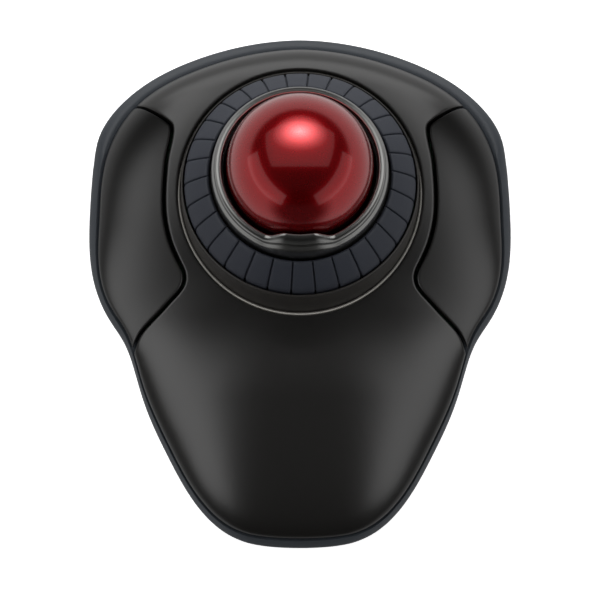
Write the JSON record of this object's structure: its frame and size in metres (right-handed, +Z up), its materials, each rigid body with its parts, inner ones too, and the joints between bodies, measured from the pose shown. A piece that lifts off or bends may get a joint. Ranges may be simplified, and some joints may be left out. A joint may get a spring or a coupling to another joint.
{
  "type": "trackball with scroll ring",
  "caption": "Wireless desktop trackball: glossy red ball in a raised turret, rubber scroll ring around it, two large side buttons and a wide palm rest, standing on rubber feet.",
  "frame": {"origin": "middle of the footprint, on the surface the feet stand on", "axes": "+X to the user's right, +Y away from the user, +Z up"},
  "size_m": [0.1184, 0.1461, 0.0618],
  "materials": {
    "shell": "fine matte, warm dark grey",
    "rim": "satin, bluish grey",
    "rubber": "matte",
    "silver": "satin silver-grey coating on plastic",
    "ball": "polished deep red resin",
    "inner_plastic": "moulded, semi-gloss",
    "circuit_board": "solder mask on glass-epoxy",
    "steel": "plated",
    "gold": "gold flash over brass",
    "white": "polished",
    "lens": "clear moulded lens",
    "cell": "plain printed sleeve",
    "foot": "matte"
  },
  "bodies": {
    "case": {"bottom_case": "rim", "top_shell": "shell", "turret_bezel": "shell", "ball_collar": "silver", "ball_cup": "inner_plastic", "support_bearing_a": "white", "support_bearing_b": "white", "support_bearing_c": "white", "optical_sensor": "inner_plastic", "sensor_lens": "lens", "sensor_board": "circuit_board", "sensor_ribbon": "steel", "main_board": "circuit_board", "left_microswitch": "inner_plastic", "right_microswitch": "inner_plastic", "controller_chip": "inner_plastic", "radio_module": "steel", "ring_encoder_sensor": "inner_plastic", "power_switch": "steel", "pairing_switch": "steel", "cell_front": "cell", "cell_rear": "cell", "bridge_contact": "steel", "positive_terminal": "gold", "negative_terminal": "steel", "rubber_foot_1": "foot", "rubber_foot_2": "foot", "rubber_foot_3": "foot", "rubber_foot_4": "foot", "rubber_foot_5": "foot", "rubber_foot_6": "foot", "case_screw_1": "steel", "case_screw_2": "steel", "case_screw_3": "steel", "case_screw_4": "steel", "cup_screw_1": "steel", "cup_screw_2": "steel", "cup_screw_3": "steel", "board_screw_1": "steel", "board_screw_2": "steel"},
    "left_button": {"left_button": "shell"},
    "right_button": {"right_button": "shell"},
    "scroll_ring": {"scroll_ring_tread": "rubber", "scroll_ring_carrier": "inner_plastic"},
    "ball": {"trackball": "ball"},
    "left_plunger": {"left_switch_plunger": "white"},
    "right_plunger": {"right_switch_plunger": "white"},
    "power_slider": {"power_slider": "inner_plastic"},
    "pairing_button": {"pairing_button": "inner_plastic"},
    "battery_door": {"battery_door": "rim"},
    "receiver": {"receiver_cap": "inner_plastic", "receiver_plug": "steel"}
  },
  "joints": [
    {"name": "left_button_press", "type": "hinge", "parent": "case", "child": "left_button", "pos_m": [0, 0.04413, 0.01784], "axis": [1, 0, 0], "range_deg": [0, 0.55], "stiffness_Nm_per_rad": 1.6, "springref_deg": -0.69},
    {"name": "right_button_press", "type": "hinge", "parent": "case", "child": "right_button", "pos_m": [0, 0.04413, 0.01784], "axis": [1, 0, 0], "range_deg": [0, 0.55], "stiffness_Nm_per_rad": 1.6, "springref_deg": -0.69},
    {"name": "scroll_ring_turn", "type": "hinge", "parent": "case", "child": "scroll_ring", "pos_m": [0, 0.02371, 0.03286], "axis": [0, 0, 1], "continuous": true},
    {"name": "ball_roll", "type": "hinge", "parent": "case", "child": "ball", "pos_m": [0, 0.02371, 0.04178], "axis": [1, 0, 0], "continuous": true},
    {"name": "left_plunger_travel", "type": "slide", "parent": "case", "child": "left_plunger", "axis": [0, 0, -1], "range_m": [0, 0.0004]},
    {"name": "right_plunger_travel", "type": "slide", "parent": "case", "child": "right_plunger", "axis": [0, 0, -1], "range_m": [0, 0.0004]},
    {"name": "power_slider_travel", "type": "slide", "parent": "case", "child": "power_slider", "axis": [1, 0, 0], "range_m": [0, 0.0028]},
    {"name": "pairing_button_press", "type": "slide", "parent": "case", "child": "pairing_button", "axis": [0, 0, 1], "range_m": [0, 0.0005], "stiffness_N_per_m": 600, "springref_m": -0.0005},
    {"name": "battery_door_open", "type": "hinge", "parent": "case", "child": "battery_door", "pos_m": [0, -0.01512, 0.00141], "axis": [1, 0, 0], "range_deg": [0, 90]},
    {"name": "receiver_pull", "type": "slide", "parent": "case", "child": "receiver", "axis": [0, 0, -1], "range_m": [0, 0.008]}
  ],
  "couplings": [
    {"joint": "left_plunger_travel", "follows": "left_button_press", "m_per_rad": 0.0366},
    {"joint": "right_plunger_travel", "follows": "right_button_press", "m_per_rad": 0.0366}
  ]
}
